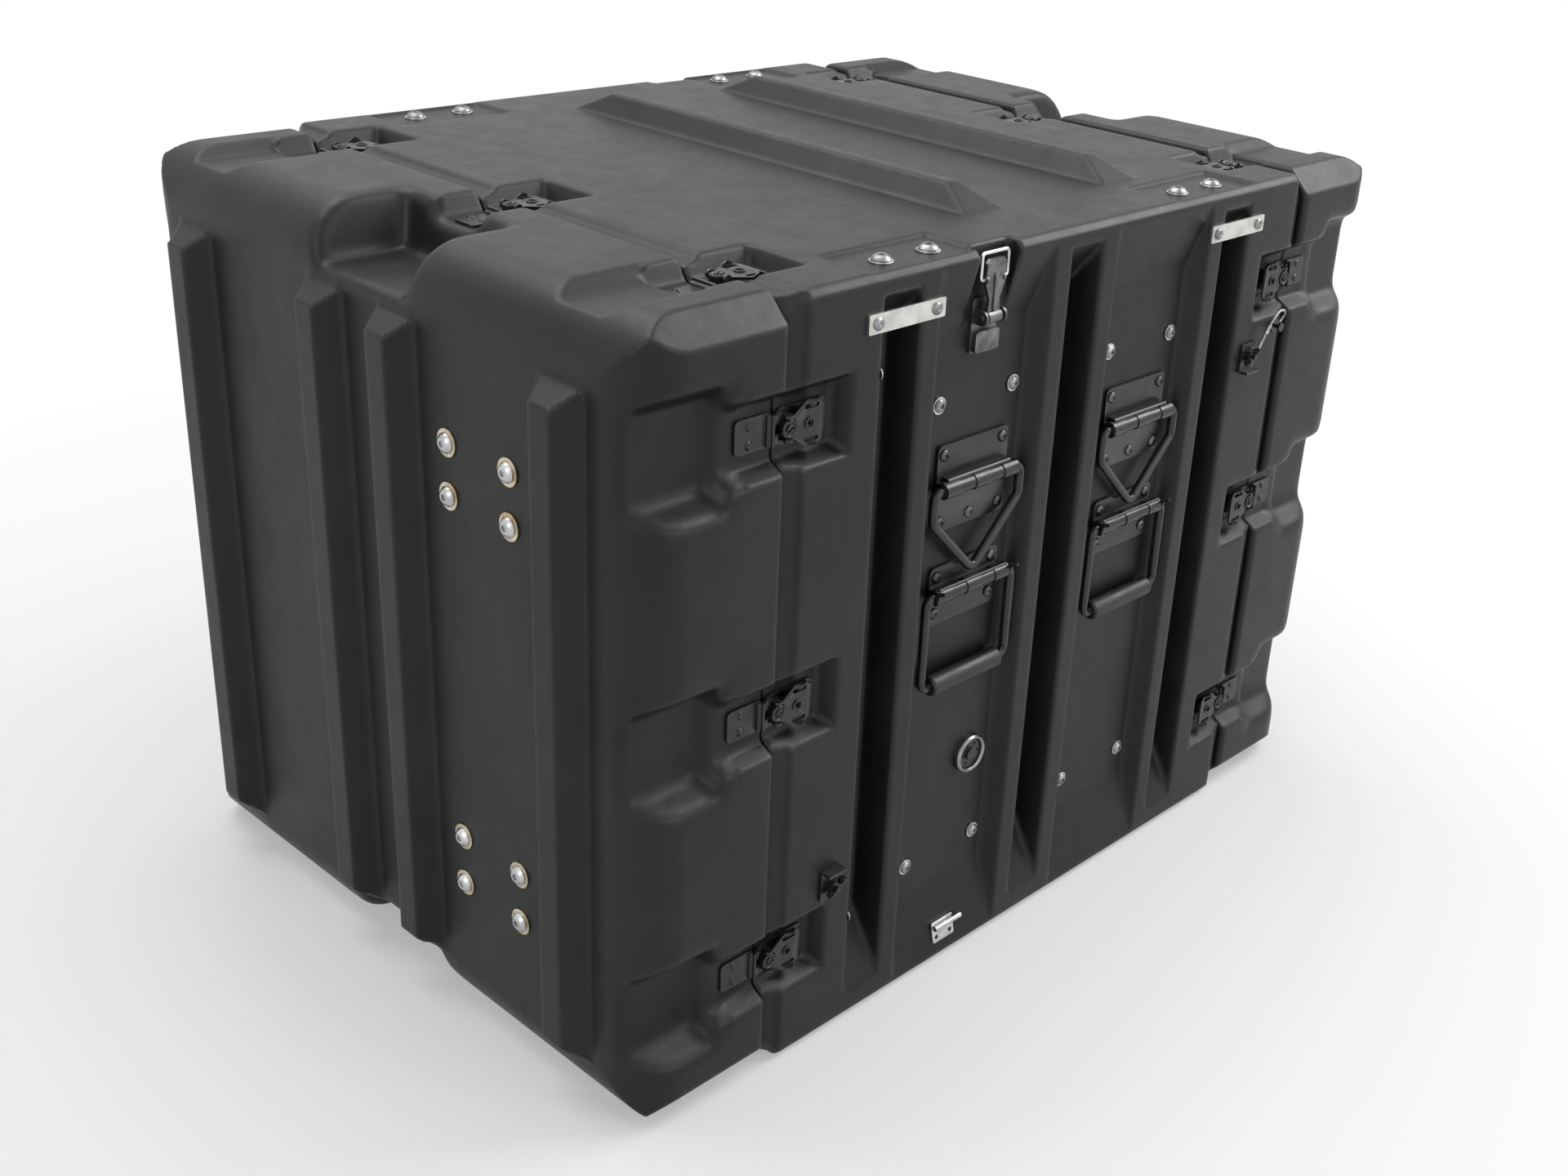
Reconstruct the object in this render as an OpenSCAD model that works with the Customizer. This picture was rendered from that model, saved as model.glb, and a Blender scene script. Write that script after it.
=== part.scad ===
// Shock-mount rack case: a ribbed moulded sleeve, two lift-off end covers,
// twist latches, side handles and a sprung 19 inch rack frame inside.
// Millimetres, +Z up, X along the case, origin under its middle.

/* [Case] */
// Room beside the rack, from a rail's hole row to the outer side face
side_room = 90.45; // [80:0.05:130]
// Room above and below the rack, out to the outer faces
top_room = 83.025; // [76:0.005:120]
// Length of the sleeve between its two parting lines
sleeve_l = 663; // [640:1:900]
// Depth of an end cover from parting line to end face
cover_d = 132; // [125:1:220]
// Gap left between sleeve and cover
seam_gap = 1; // [0.5:0.1:2]
// Moulded wall
wall = 7; // [5:0.5:8]
// Depth of the thick rim around each mouth
rim_t = 25; // [24:1:30]
// Length of that rim along the case
rim_l = 24; // [20:1:40]
// Small chamfer on the sleeve's long edges
sleeve_edge = 6; // [3:1:10]
// Big chamfer on the covers' long edges
cover_edge = 22; // [16:1:28]
// Round between a cover's end face and its walls
cover_round = 44; // [30:1:50]
// Width of the bevelled band beside each parting line
seam_band = 16; // [10:1:18]
// Depth of that band at the parting line
seam_drop = 7; // [3:0.5:8]
// Height of the small step where that band starts
seam_step = 2.5; // [1:0.5:4]

/* [Side form] */
// Half width of the middle groove
groove_half = 20.5; // [16:0.5:22]
// Middle of the outer grooves from the centre line
groove_x = 218.5; // [214:0.5:222]
// Depth of the narrow grooves
groove_d = 30; // [20:1:32]
// Middle of each handle channel from the centre line
chan_x = 109.5; // [108:0.5:112]
// Half width of a handle channel at the face
chan_half = 67.5; // [66:0.5:69]
// Depth of a handle channel
chan_d = 15.5; // [14:0.5:17]
// Sloping draft of groove and channel sides
side_draft = 7; // [4:0.5:8]

/* [Ribs] */
// Height of the two stacking ribs on top
top_rib_h = 18; // [10:1:24]
// Width of a stacking rib at its foot
top_rib_w = 46; // [40:1:60]
// Place of the first stacking rib along the case
top_rib_a = -43; // [-60:1:-30]
// Place of the second stacking rib along the case
top_rib_b = 141; // [120:1:150]
// How far the end-face ribs stand out
end_rib_h = 20; // [12:1:26]
// Width of an end-face rib at its foot
end_rib_w = 47; // [40:1:56]
// Outer pair of end-face ribs from the centre line
end_rib_y = 240; // [225:1:250]
// Inner pair of end-face ribs from the centre line
end_rib_yi = 47; // [40:1:60]

/* [Latches] */
// Outer side latches from the top and bottom faces
latch_in_z = 99.5; // [90:0.5:140]
// Outer top and bottom latches from the side faces
latch_in_y = 83; // [78:0.5:120]
// Latch stud back from the parting line
latch_back = 7.5; // [7.5:0.5:14]
// Depth of the latch pockets
pocket_d = 16; // [16:0.5:17]
// Half height of a latch pocket at its floor
pocket_half = 23; // [23:0.5:26]
// Thickness of the pressed latch parts
latch_t = 2; // [1.5:0.1:2]
// Length of a latch wing behind its pin
wing_l = 33; // [30:1:38]
// Half width of a latch wing
wing_half = 18; // [16:0.5:19]

/* [Handles] */
// Rod of the lifting rings and carrying handles
rod_d = 8; // [6:0.5:8]
// Running clearance of a rod in its barrel, on radius
rod_fit = 0.05; // [0.03:0.01:0.1]
// Outside radius of the rolled hinge barrels
barrel_r = 7; // [6:0.5:8]
// Half length of the hinge barrels
barrel_half = 44; // [40:1:46]
// Rod axis above the channel floor
rod_lift = 10; // [10:0.5:11]
// Carrying handle from hinge to grip
handle_drop = 82; // [70:1:90]
// Rubber grip diameter
grip_d = 17.6; // [15:0.2:18]
// Rubber grip length
grip_l = 86; // [70:1:90]
// Lifting ring from hinge to apex
ring_drop = 79; // [60:1:80]

/* [Rack] */
// Height units held by the rails
rack_units = 11; // [8:1:11]
// Hole rows on a pair of rails, centre to centre
rail_pitch = 465.1; // [465.1:0.1:465.1]
// Rail hole
rail_hole = 6.8; // [5:0.1:7.2]
// Depth from front rails to rear rails
rail_depth = 522; // [480:1:580]
// Rubber of a shock mount, diameter
mount_d = 42; // [30:1:46]

/* [Hidden] */
unit = 44.45;
eps = 0.01;
rail_h = rack_units*unit;
case_w = rail_pitch + 2*side_room;
case_h = rail_h + 2*top_room;
hl = sleeve_l/2;
hw = case_w/2;
mid_z = case_h/2;
end_x = hl + cover_d;
lid_x0 = hl + seam_gap;
latch_x = hl - latch_back;
latch_pz = mid_z - latch_in_z;
latch_py = hw - latch_in_y;
post_w = 30;
post_t = 15;
beam_h = 46;
frame_t = 3;
frame_h = rail_h + 2*post_t + 1;
frame_in = rail_pitch/2 + post_t - 0.05;
frame_out = frame_in + post_t;
chan_floor = hw - chan_d;
groove_slope_lo = [26, 91];
groove_slope_hi = [case_h - 55, case_h - 15];
chan_slope_lo = [8, 78];
chan_slope_hi = [case_h - 65, case_h - 8];
pocket_run = 9;
pocket_x = latch_x - 49;
keep_x1 = lid_x0 + 38;
deep_x = end_x - 84;
side_wide_x = end_x - 72;
deep_d = 45;
wide_d = 26;
trough_d = 9;
pin_z = 8;
pin_d = 3;
stud_head_r = 7;
keeper_w = 26;
yoke_r = 10.4;
plate_t = 2.5;
bolt_d = 8;
bolt_clear = 0.3;
bolt_head_r = 8;
bolt_head_h = 4.4;
washer_r = 11;
washer_t = 1.6;
screw_r = 5;
screw_h = 2.6;
ring_z = mid_z + 136;
handle_z = mid_z + 43.5;
mount_in = [55, 41];
mount_z = [mid_z + frame_h/2 - mount_in[0], mid_z - frame_h/2 + mount_in[1]];
mount_half = 44.7;
strip_z = case_h - 35;
strip_x = [185, 248];
top_bolt_x = [162, 213.5];
top_bolt_y = hw - 30;
chan_washer_r = 7.2;
pad_d = 3;
lid_bolt_y = [106, 179];
lid_bolt_z = [mid_z + 187.5, mid_z + 145.5, mid_z - 150.5, mid_z - 194.5];
edge_screw_z = [case_h - 76, 104];
valve_at = [-80, mid_z - 133];
toggle_z = case_h - 57;
bracket_x = 265;
bracket_z = [mid_z + 164, mid_z - 176];
post_x = rail_depth/2 - 1;
gasket_w = 7;
gasket_t = 6;
// hand-picked route of the wire lanyard, as x, outward and z
lanyard_points = [[308,5,518],[311,6,523],[310,8,528],[305,9,531],[298,9,531],
                  [292,9,527],[287,8,520],[283,7,512],[280,6,505],[276,6,499]];

// ---------- helpers ----------

// Extrudes a profile drawn in width and height along the case.
module along_x(l) rotate([90, 0, 90]) linear_extrude(l, center = true) children();

// Extrudes a profile drawn in length and height across the case.
module along_y(l) rotate([90, 0, 0]) linear_extrude(l, center = true) children();

// Half size of the case towards a wall: 0 top, 90 near, 180 bottom, 270 far.
function half(a) = (a % 180 == 0) ? mid_z : hw;

// Puts children on a wall, their Z pointing out of it.
module on_wall(a) translate([0, 0, mid_z]) rotate([a, 0, 0]) translate([0, 0, half(a)]) children();

// Near side and, turned half round, the far side.
module both_sides() for (a = [0, 180]) rotate([0, 0, a]) children();

// Flat frame on the near side: X along the case, Y up, Z outwards from depth d.
module on_side(x, z, d = 0) translate([x, d - hw, z]) rotate([90, 0, 0]) children();

// Latch places: wall, end and the offset along the wall.
function latch_pitch(a) = (a % 180 == 0) ? latch_py : latch_pz;
module latch_at(a, e, k) on_wall(a)
  translate([e*latch_x, k*latch_pitch(a), -pocket_d]) rotate([0, 0, e < 0 ? 180 : 0]) children();
module all_latches() for (a = [0:90:270], e = [-1, 1], k = [-1:1]) latch_at(a, e, k) children();

// Rectangle with chamfered corners.
module chamfered(w, h, c) {
  x = w/2; y = h/2;
  polygon([[-x + c, -y], [x - c, -y], [x, -y + c], [x, y - c],
           [x - c, y], [-x + c, y], [-x, y - c], [-x, -y + c]]);
}

// Rectangle with round corners.
module rounded(w, h, r) {
  union() {
    square([w - 2*r, h], center = true);
    square([w, h - 2*r], center = true);
    for (x = [-1, 1], y = [-1, 1]) translate([x*(w/2 - r), y*(h/2 - r)]) circle(r, $fn = 32);
  }
}

// Sloping-sided cut into a wall, whose surface is Z = 0.
// x0..x1 is the floor, r0 and r1 its end slopes, hf and hs the half widths.
module wall_cut(x0, x1, hf, hs, d, r0, r1) {
  intersection() {
    translate([(x0 - r0 + x1 + r1)/2, 0, 0]) along_x(x1 - x0 + r0 + r1 + 2)
      polygon([[-hs, 2], [-hs, 0], [-hf, -d], [hf, -d], [hs, 0], [hs, 2]]);
    along_y(2*hs + 2)
      polygon([[x0 - r0, 2], [x0 - r0, 0], [x0, -d], [x1, -d], [x1 + r1, 0], [x1 + r1, 2]]);
  }
}

// Upright groove on the near side: floor half width f, face half width s.
module side_cut(x, f, s, d, lo, hi, g = 0) {
  intersection() {
    translate([x, -hw, mid_z]) linear_extrude(case_h + 20, center = true)
      polygon([[-s - g, -2], [-s - g, 0], [-f - g, d + g], [f + g, d + g], [s + g, 0], [s + g, -2]]);
    translate([x, -hw, 0]) along_x(2*s + 2*g + 2)
      polygon([[-2, lo[0] - g], [0, lo[0] - g], [d + g, lo[1] - g],
               [d + g, hi[0] + g], [0, hi[1] + g], [-2, hi[1] + g]]);
  }
}

// Rod bent through flat points, closed, with round bends.
function unitv(v) = v/norm(v);
function turn(a, b) = atan2(a[0]*b[1] - a[1]*b[0], a[0]*b[0] + a[1]*b[1]);
module bent_rod(p, d, r) {
  n = len(p);
  dir = [for (i = [0:n - 1]) unitv(p[(i + 1) % n] - p[i])];
  cut = [for (i = [0:n - 1]) r*tan(abs(turn(dir[(i + n - 1) % n], dir[i]))/2)];
  union() for (i = [0:n - 1]) {
    j = (i + 1) % n;
    din = dir[(i + n - 1) % n];
    t = turn(din, dir[i]);
    s = sign(t);
    from = p[i] + dir[i]*cut[i];
    len_i = norm(p[j] - p[i]) - cut[i] - cut[j];
    mid = p[i] - din*cut[i] + [-din[1], din[0]]*s*r;
    translate([from[0], from[1], 0]) rotate([0, 0, atan2(dir[i][1], dir[i][0])])
      rotate([0, 90, 0]) cylinder(d = d, h = len_i, $fn = 32);
    // the bend is a hair thinner and longer, so that it joins cleanly
    translate([mid[0], mid[1], 0])
      rotate([0, 0, (s > 0 ? atan2(-din[0], din[1]) : atan2(dir[i][0], -dir[i][1])) - 1])
        rotate_extrude(angle = abs(t) + 2, $fn = 64) translate([r, 0]) circle(d = d - 0.2, $fn = 32);
  }
}

// ---------- moulded shells ----------

// Bevel around a mouth: d0 deep at the band's start, d1 at the parting line.
module bevel(d0, d1, l) along_y(l)
  polygon([[hl - seam_band, 3], [hl - seam_band, -d0], [hl, -d1], [hl + 1, -d1], [hl + 1, 3]]);

module seam_bevels() both_sides() {
  for (a = [0:90:270]) on_wall(a) bevel(seam_step, seam_drop, case_h + case_w);
  for (y = [-1, 1], z = [-1, 1]) translate([0, y*hw, mid_z + z*mid_z])
    rotate([z > 0 ? -45*y : -135*y, 0, 0])
      bevel(sleeve_edge/sqrt(2) + seam_step, cover_edge/sqrt(2) + seam_drop, 4*cover_edge);
}

module sleeve_cuts(g = 0) {
  both_sides() {
    side_cut(0, groove_half - side_draft, groove_half, groove_d, groove_slope_lo, groove_slope_hi, g);
    for (s = [-1, 1]) {
      side_cut(s*groove_x, groove_half - side_draft, groove_half, groove_d,
               groove_slope_lo, groove_slope_hi, g);
      side_cut(s*chan_x, chan_half - side_draft - 2, chan_half, chan_d,
               chan_slope_lo, chan_slope_hi, g);
    }
  }
  for (a = [0:90:270], e = [0, 1], k = [-1:1]) on_wall(a) mirror([e, 0, 0])
    translate([0, k*latch_pitch(a), 0])
      wall_cut(pocket_x - g, hl + 1, pocket_half + g, pocket_half + pocket_run + g,
               pocket_d + g, 8, 0);
  // grooves underneath that take the ribs of a case below
  for (x = [top_rib_a, top_rib_b]) on_wall(180)
    wall_cut(x - top_rib_w/2 + 12 - g, x + top_rib_w/2 - 12 + g, hw - 112 + g, hw - 76 + g,
             top_rib_h + 2 + g, 14, 14);
}

module top_ribs() for (x = [top_rib_a, top_rib_b]) translate([x, 0, case_h - 1])
  intersection() {
    along_y(case_w) polygon([[-top_rib_w/2, 0], [top_rib_w/2, 0], [top_rib_w/2, 1],
      [top_rib_w/2 - 16, top_rib_h + 1], [16 - top_rib_w/2, top_rib_h + 1], [-top_rib_w/2, 1]]);
    along_x(case_w) polygon([[-hw + 76, 0], [hw - 76, 0], [hw - 76, 1], [hw - 112, top_rib_h + 1],
      [112 - hw, top_rib_h + 1], [76 - hw, 1]]);
  }

// Bolts through the sleeve wall, drawn along -Z from its outer surface.
module top_bolts() both_sides() for (x = [-1, 1], y = [0, 1])
  translate([x*top_bolt_x[y], -top_bolt_y, case_h - pad_d]) children();
module channel_bolts() both_sides() for (s = [-1, 1], m = [-1, 1], z = mount_z)
  on_side(s*chan_x + m*mount_half, z, chan_d) children();
module strip_bolts() both_sides() for (s = [-1, 1], x = strip_x)
  on_side(s*x, strip_z, -plate_t) children();
// Small screws on the wall of an outer groove, just below its lip.
module edge_screws() both_sides() for (z = edge_screw_z)
  translate([-groove_x - groove_half + 4*side_draft/groove_d, 4 - hw, z])
    rotate([0, 0, -atan2(side_draft, groove_d)]) rotate([0, 90, 0]) children();

module sleeve() color([0.13, 0.13, 0.14]) difference() {
  union() {
    translate([0, 0, mid_z]) along_x(sleeve_l) chamfered(case_w, case_h, sleeve_edge);
    top_ribs();
  }
  seam_bevels();
  sleeve_cuts();
  // shallow pads for the top bolts
  both_sides() for (s = [-1, 1])
    translate([s*190 - 59, -hw + 7, case_h - pad_d]) cube([118, 54, pad_d + 1]);
  // slot that lets a toggle reach past the top edge
  both_sides() translate([-chan_x - 24, -hw - 1, chan_slope_hi[0] - 1])
    cube([48, chan_d + 1, case_h]);
  difference() {
    translate([0, 0, mid_z]) along_x(sleeve_l - 2*rim_l)
      chamfered(case_w - 2*wall, case_h - 2*wall, sleeve_edge + 10);
    sleeve_cuts(wall);
    both_sides() translate([-chan_x - 31, -hw - 1, chan_slope_hi[0] - 10])
      cube([62, chan_d + wall + 1, case_h]);
  }
  for (e = [-1, 1]) translate([e*(hl - rim_l/2), 0, mid_z]) along_x(rim_l + 2)
    chamfered(case_w - 2*rim_t, case_h - 2*rim_t, 30);
  top_bolts() translate([0, 0, -40]) cylinder(r = bolt_d/2 + bolt_clear, h = 41, $fn = 32);
  channel_bolts() translate([0, 0, -40]) cylinder(r = bolt_d/2 + bolt_clear, h = 41, $fn = 32);
  strip_bolts() translate([0, 0, -40]) cylinder(r = bolt_d/2 + bolt_clear, h = 41, $fn = 32);
  at_valve() translate([0, 0, -30]) cylinder(r = 11, h = 31, $fn = 48);
}

// Cover drawn at the +X end; in is the inset of its skin.
module cover_block(x0, in) intersection() {
  translate([end_x/2, 0, mid_z]) along_x(end_x)
    chamfered(case_w - 2*in, case_h - 2*in, cover_edge + in/2);
  along_y(case_w) translate([x0, in]) round_end(end_x - in - x0, case_h - 2*in, cover_round - in);
  linear_extrude(case_h) translate([x0, in - hw]) round_end(end_x - in - x0, case_w - 2*in, cover_round - in);
}

// Rectangle whose far corners are round.
module round_end(l, h, r) union() {
  square([l - r, h]);
  translate([0, r]) square([l, h - 2*r]);
  for (y = [r, h - r]) translate([l - r, y]) circle(r, $fn = 64);
}

module cover_cuts(g = 0) {
  for (a = [0:90:270], k = [-1:1]) on_wall(a) translate([0, k*latch_pitch(a), 0]) {
    reach = (a % 180 == 90) ? side_wide_x : (k == 0) ? deep_x + 6 : keep_x1;
    wall_cut(hl - 1, reach + g, pocket_half + g, pocket_half + pocket_run + g,
             pocket_d + g, 0, 6);
    if (a % 180 == 90)
      wall_cut(side_wide_x - g, end_x + 30, 34 + g, 48 + g, wide_d + g, 8, 0);
    else if (k == 0)
      wall_cut(deep_x + 6 - g, end_x + 30, 56 + g, 68 + g, deep_d + g, 12, 0);
    else
      wall_cut(keep_x1 - g, end_x + 30, 24 + g, 37 + g, trough_d + g, 6, 0);
  }
}

module end_ribs() for (y = [-end_rib_y, -end_rib_yi, end_rib_yi, end_rib_y]) translate([0, y, 0])
  intersection() {
    linear_extrude(case_h) polygon([[end_x - 1, -end_rib_w/2], [end_x, -end_rib_w/2],
      [end_x + end_rib_h, -end_rib_w/2 + 11.5], [end_x + end_rib_h, end_rib_w/2 - 11.5],
      [end_x, end_rib_w/2], [end_x - 1, end_rib_w/2]]);
    along_y(end_rib_w + 2) polygon([[end_x - 1, 44], [end_x, 44], [end_x + end_rib_h, 60],
      [end_x + end_rib_h, case_h - 69], [end_x, case_h - 55], [end_x - 1, case_h - 55]]);
  }

module cover_bolt_spots() for (y = lid_bolt_y, z = lid_bolt_z)
  translate([end_x, y, z]) rotate([0, 90, 0]) children();

module gasket_ring(w0, w1) difference() {
  chamfered(case_w - 2*w0, case_h - 2*w0, 34 - w0/4);
  chamfered(case_w - 2*w1, case_h - 2*w1, 34 - w1/4);
}

module cover() color([0.13, 0.13, 0.14]) difference() {
  union() { cover_block(lid_x0, 0); end_ribs(); }
  cover_cuts();
  difference() {
    cover_block(lid_x0 + rim_l, wall);
    cover_cuts(wall);
  }
  translate([lid_x0 + rim_l/2, 0, mid_z]) along_x(rim_l + 2)
    chamfered(case_w - 2*rim_t - 14, case_h - 2*rim_t - 14, 30);
  // seat of the gasket
  translate([lid_x0 + gasket_t/2 - 1, 0, mid_z]) along_x(gasket_t + 2) difference() {
    chamfered(case_w - 2*rim_t + 2, case_h - 2*rim_t + 2, 27);
    chamfered(case_w - 2*rim_t - 2*gasket_w + 2, case_h - 2*rim_t - 2*gasket_w + 2, 27);
  }
  // small round-off beside the parting line
  for (a = [0:90:270]) on_wall(a) along_y(case_h + case_w)
    polygon([[lid_x0 - 1, -3], [lid_x0, -3], [lid_x0 + 3, 0], [lid_x0 + 3, 2], [lid_x0 - 1, 2]]);
  cover_bolt_spots() translate([0, 0, -40]) cylinder(r = bolt_d/2 + bolt_clear, h = 41, $fn = 32);
}

module gasket() color([0.07, 0.07, 0.07]) translate([hl + (gasket_t + seam_gap)/2, 0, mid_z])
  along_x(gasket_t + seam_gap) difference() {
    chamfered(case_w - 2*rim_t, case_h - 2*rim_t, 27);
    chamfered(case_w - 2*rim_t - 2*gasket_w + 4, case_h - 2*rim_t - 2*gasket_w + 4, 27);
  }

module left() rotate([0, 0, 180]) children();
module left_cover() left() cover();
module right_cover() cover();
module left_gasket() left() gasket();
module right_gasket() gasket();

// ---------- twist latches ----------

// Strike plate on a cover, with its raised lip and two rivets.
module keeper() color([0.1, 0.1, 0.1]) union() {
  x0 = latch_back + seam_gap + 2;
  translate([x0 + 18, 0, 0]) linear_extrude(latch_t) rounded(34, keeper_w, 4);
  translate([x0 + 2, 0, 0]) along_y(keeper_w - 2) {
    square([4, latch_t]);
    translate([0, latch_t]) difference() {
      square([4, 5]);
      translate([4, 5]) circle(3, $fn = 32);
    }
    translate([0.6, 6.4]) circle(1.4, $fn = 32);
  }
  for (y = [-7, 7]) translate([x0 + 22, y, latch_t]) cylinder(d1 = 7, d2 = 4.4, h = 1.6, $fn = 32);
}
module keepers(e) for (a = [0:90:270], k = [-1:1]) latch_at(a, e, k) keeper();
module left_keepers() keepers(-1);
module right_keepers() keepers(1);

// Base plate riveted in the sleeve's pocket.
module latch_base() color([0.09, 0.09, 0.09]) union() {
  translate([(latch_back - 1 - 42.5)/2, 0, 0])
    linear_extrude(latch_t) rounded(41.5 + latch_back, 28, 5);
  for (y = [-8, 8]) translate([-37.6, y, latch_t]) cylinder(d1 = 7, d2 = 4.4, h = 1.6, $fn = 32);
}
module latch_bases() all_latches() latch_base();

// Two-fingered draw hook that the stud's cam pulls back.
hook_x = latch_back + seam_gap + 2;
module latch_hook() color([0.11, 0.11, 0.11]) translate([0, 0, latch_t]) difference() {
  union() {
    linear_extrude(latch_t) polygon([[-11, -8], [-3, -9], [3, -11], [hook_x, -11], [hook_x, -4],
      [hook_x - 5, -3], [hook_x - 5, 3], [hook_x, 4], [hook_x, 11], [3, 11], [-3, 9], [-11, 8]]);
    for (y = [-7.5, 7.5]) translate([hook_x - 1.5, y, latch_t]) linear_extrude(1.5)
      square([3, 7], center = true);
  }
  cylinder(r = 4.6, h = 20, center = true, $fn = 32);
}
module latch_hooks() all_latches() latch_hook();

// Turning stud with a rim, a slotted middle and the cross pin that carries the wing.
module latch_stud() color([0.12, 0.12, 0.12]) difference() {
  union() {
    translate([0, 0, latch_t]) cylinder(r = 4.2, h = latch_t + 1, $fn = 32);
    translate([0, 0, 2*latch_t + 0.4]) rotate_extrude($fn = 48) polygon([[0, 0], [stud_head_r, 0],
      [stud_head_r, 5.2], [stud_head_r - 0.7, 6], [stud_head_r - 1.7, 6], [stud_head_r - 2.3, 5.2],
      [3.5, 5.2], [3.2, 6.4], [2.6, 6.8], [0, 6.8]]);
    translate([0, 0, pin_z]) rotate([90, 0, 0]) cylinder(d = pin_d, h = 20.4, center = true, $fn = 32);
  }
  translate([0, 0, 11.3]) rotate([0, 0, 30]) cube([8, 1.6, 3], center = true);
}
module latch_studs() all_latches() latch_stud();

// Folding wing: a yoke round the stud, flared plate, turned-up ears, slots and a boss.
module wing_outline() difference() {
  union() {
    intersection() {
      circle(yoke_r, $fn = 64);
      translate([2 - 2*yoke_r, -yoke_r]) square(2*yoke_r);
    }
    polygon([[-5, -9], [-17, -wing_half], [4 - wing_l, -wing_half], [-wing_l, 5 - wing_half],
      [-wing_l, wing_half - 5], [4 - wing_l, wing_half], [-17, wing_half], [-5, 9]]);
  }
  circle(stud_head_r + 0.7, $fn = 64);
  for (s = [-1, 1]) translate([11 - wing_l, s*(wing_half - 5.5)]) rounded(14, 3.6, 1.7);
  translate([13 - wing_l, 0]) circle(1.8, $fn = 32);
}
module wing() color([0.1, 0.1, 0.1]) difference() {
  union() {
    translate([0, 0, pin_z - latch_t/2]) linear_extrude(latch_t) wing_outline();
    translate([13 - wing_l, 0, pin_z]) difference() {
      cylinder(r = 4.6, h = latch_t, $fn = 32);
      cylinder(r = 3.2, h = 9, center = true, $fn = 32);
    }
    for (s = [-1, 1]) translate([0, s*(wing_half - 0.8), pin_z]) along_y(1.6)
      polygon([[-17, -1], [4 - wing_l, -1], [5 - wing_l, 2.6], [10 - wing_l, 4.6], [-22, 3.4], [-17, 1]]);
    for (s = [-1, 1]) translate([0, s*9, pin_z]) rotate([90, 0, 0])
      cylinder(r = 3.6, h = 2.4, center = true, $fn = 32);
  }
  translate([0, 0, pin_z]) rotate([90, 0, 0])
    cylinder(r = pin_d/2 + rod_fit, h = 30, center = true, $fn = 32);
}
module hidden_latch_wings() for (a = [180, 270], e = [-1, 1], k = [-1:1]) latch_at(a, e, k) wing();
module wing_left_top_near() latch_at(0, -1, -1) wing();
module wing_left_top_middle() latch_at(0, -1, 0) wing();
module wing_left_top_far() latch_at(0, -1, 1) wing();
module wing_left_side_lower() latch_at(90, -1, -1) wing();
module wing_left_side_middle() latch_at(90, -1, 0) wing();
module wing_left_side_upper() latch_at(90, -1, 1) wing();
module wing_right_top_near() latch_at(0, 1, -1) wing();
module wing_right_top_middle() latch_at(0, 1, 0) wing();
module wing_right_top_far() latch_at(0, 1, 1) wing();
module wing_right_side_lower() latch_at(90, 1, -1) wing();
module wing_right_side_middle() latch_at(90, 1, 0) wing();
module wing_right_side_upper() latch_at(90, 1, 1) wing();

// ---------- lifting rings and carrying handles ----------

// Rolled barrel with raised beads, its bore running along X.
module barrel() difference() {
  union() {
    rotate([0, 90, 0]) cylinder(r = barrel_r - 0.8, h = 2*barrel_half, center = true, $fn = 48);
    for (x = [-1:1]) translate([x*(barrel_half - 9), 0, 0]) rotate([0, 90, 0])
      cylinder(r = barrel_r, h = 18, center = true, $fn = 48);
    translate([0, 0, -(rod_lift - plate_t)/2]) cube([2*barrel_half - 4, 9, rod_lift - plate_t], center = true);
  }
  rotate([0, 90, 0]) cylinder(r = rod_d/2 + rod_fit, h = 3*barrel_half, center = true, $fn = 48);
}

module hinge_plate(w, h, lift) union() {
  translate([0, lift, 0]) linear_extrude(plate_t) rounded(w, h, 5);
  translate([0, 0, rod_lift]) barrel();
}

// Side places of the two channels on both sides of the case.
module channels(z) both_sides() for (s = [-1, 1]) on_side(s*chan_x, z, chan_d) children();
module near_ch(s, z) on_side(s*chan_x, z, chan_d) children();
module far_ch(s, z) rotate([0, 0, 180]) on_side(s*chan_x, z, chan_d) children();

module ring_plates() color([0.1, 0.1, 0.1]) channels(ring_z) union() {
  hinge_plate(86, 74, -2.5);
  // upper fold of the pressed saddle
  difference() {
    union() {
      translate([0, barrel_r - 0.6, rod_lift - 1]) rotate([0, 90, 0])
        cylinder(r = 2.6, h = 2*barrel_half - 12, center = true, $fn = 32);
      translate([0, barrel_r - 0.6, rod_lift/2])
        cube([2*barrel_half - 16, 3, rod_lift - 3], center = true);
    }
    translate([0, 0, rod_lift]) rotate([0, 90, 0])
      cylinder(r = rod_d/2 + rod_fit, h = 3*barrel_half, center = true, $fn = 48);
  }
}

// Pointed ears of the return spring, one against each end of a handle's barrel.
module spring_ears()
  for (s = [-1, 1]) translate([s*(barrel_half + 1.5), 0, rod_lift]) difference() {
    rotate([90, 0, 90]) linear_extrude(2.4, center = true)
      polygon([[-4, 5.4], [5, 4.6], [7.4, 6], [8.8, 13], [7, 14], [4, 8], [-4, 6.8]]);
    rotate([0, 90, 0]) cylinder(r = rod_d/2 + 0.4, h = 9, center = true, $fn = 48);
  }

// The carrying handle's barrel also carries a straight return spring. Its ears are
// solids of their own.
module handle_plates() color([0.1, 0.1, 0.1]) channels(handle_z) {
  union() {
    hinge_plate(84, 52, -5);
    translate([0, barrel_r - 0.5, rod_lift + 3]) rotate([0, 90, 0])
      cylinder(r = 1.3, h = 2*barrel_half - 4, center = true, $fn = 24);
  }
  spring_ears();
}

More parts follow.
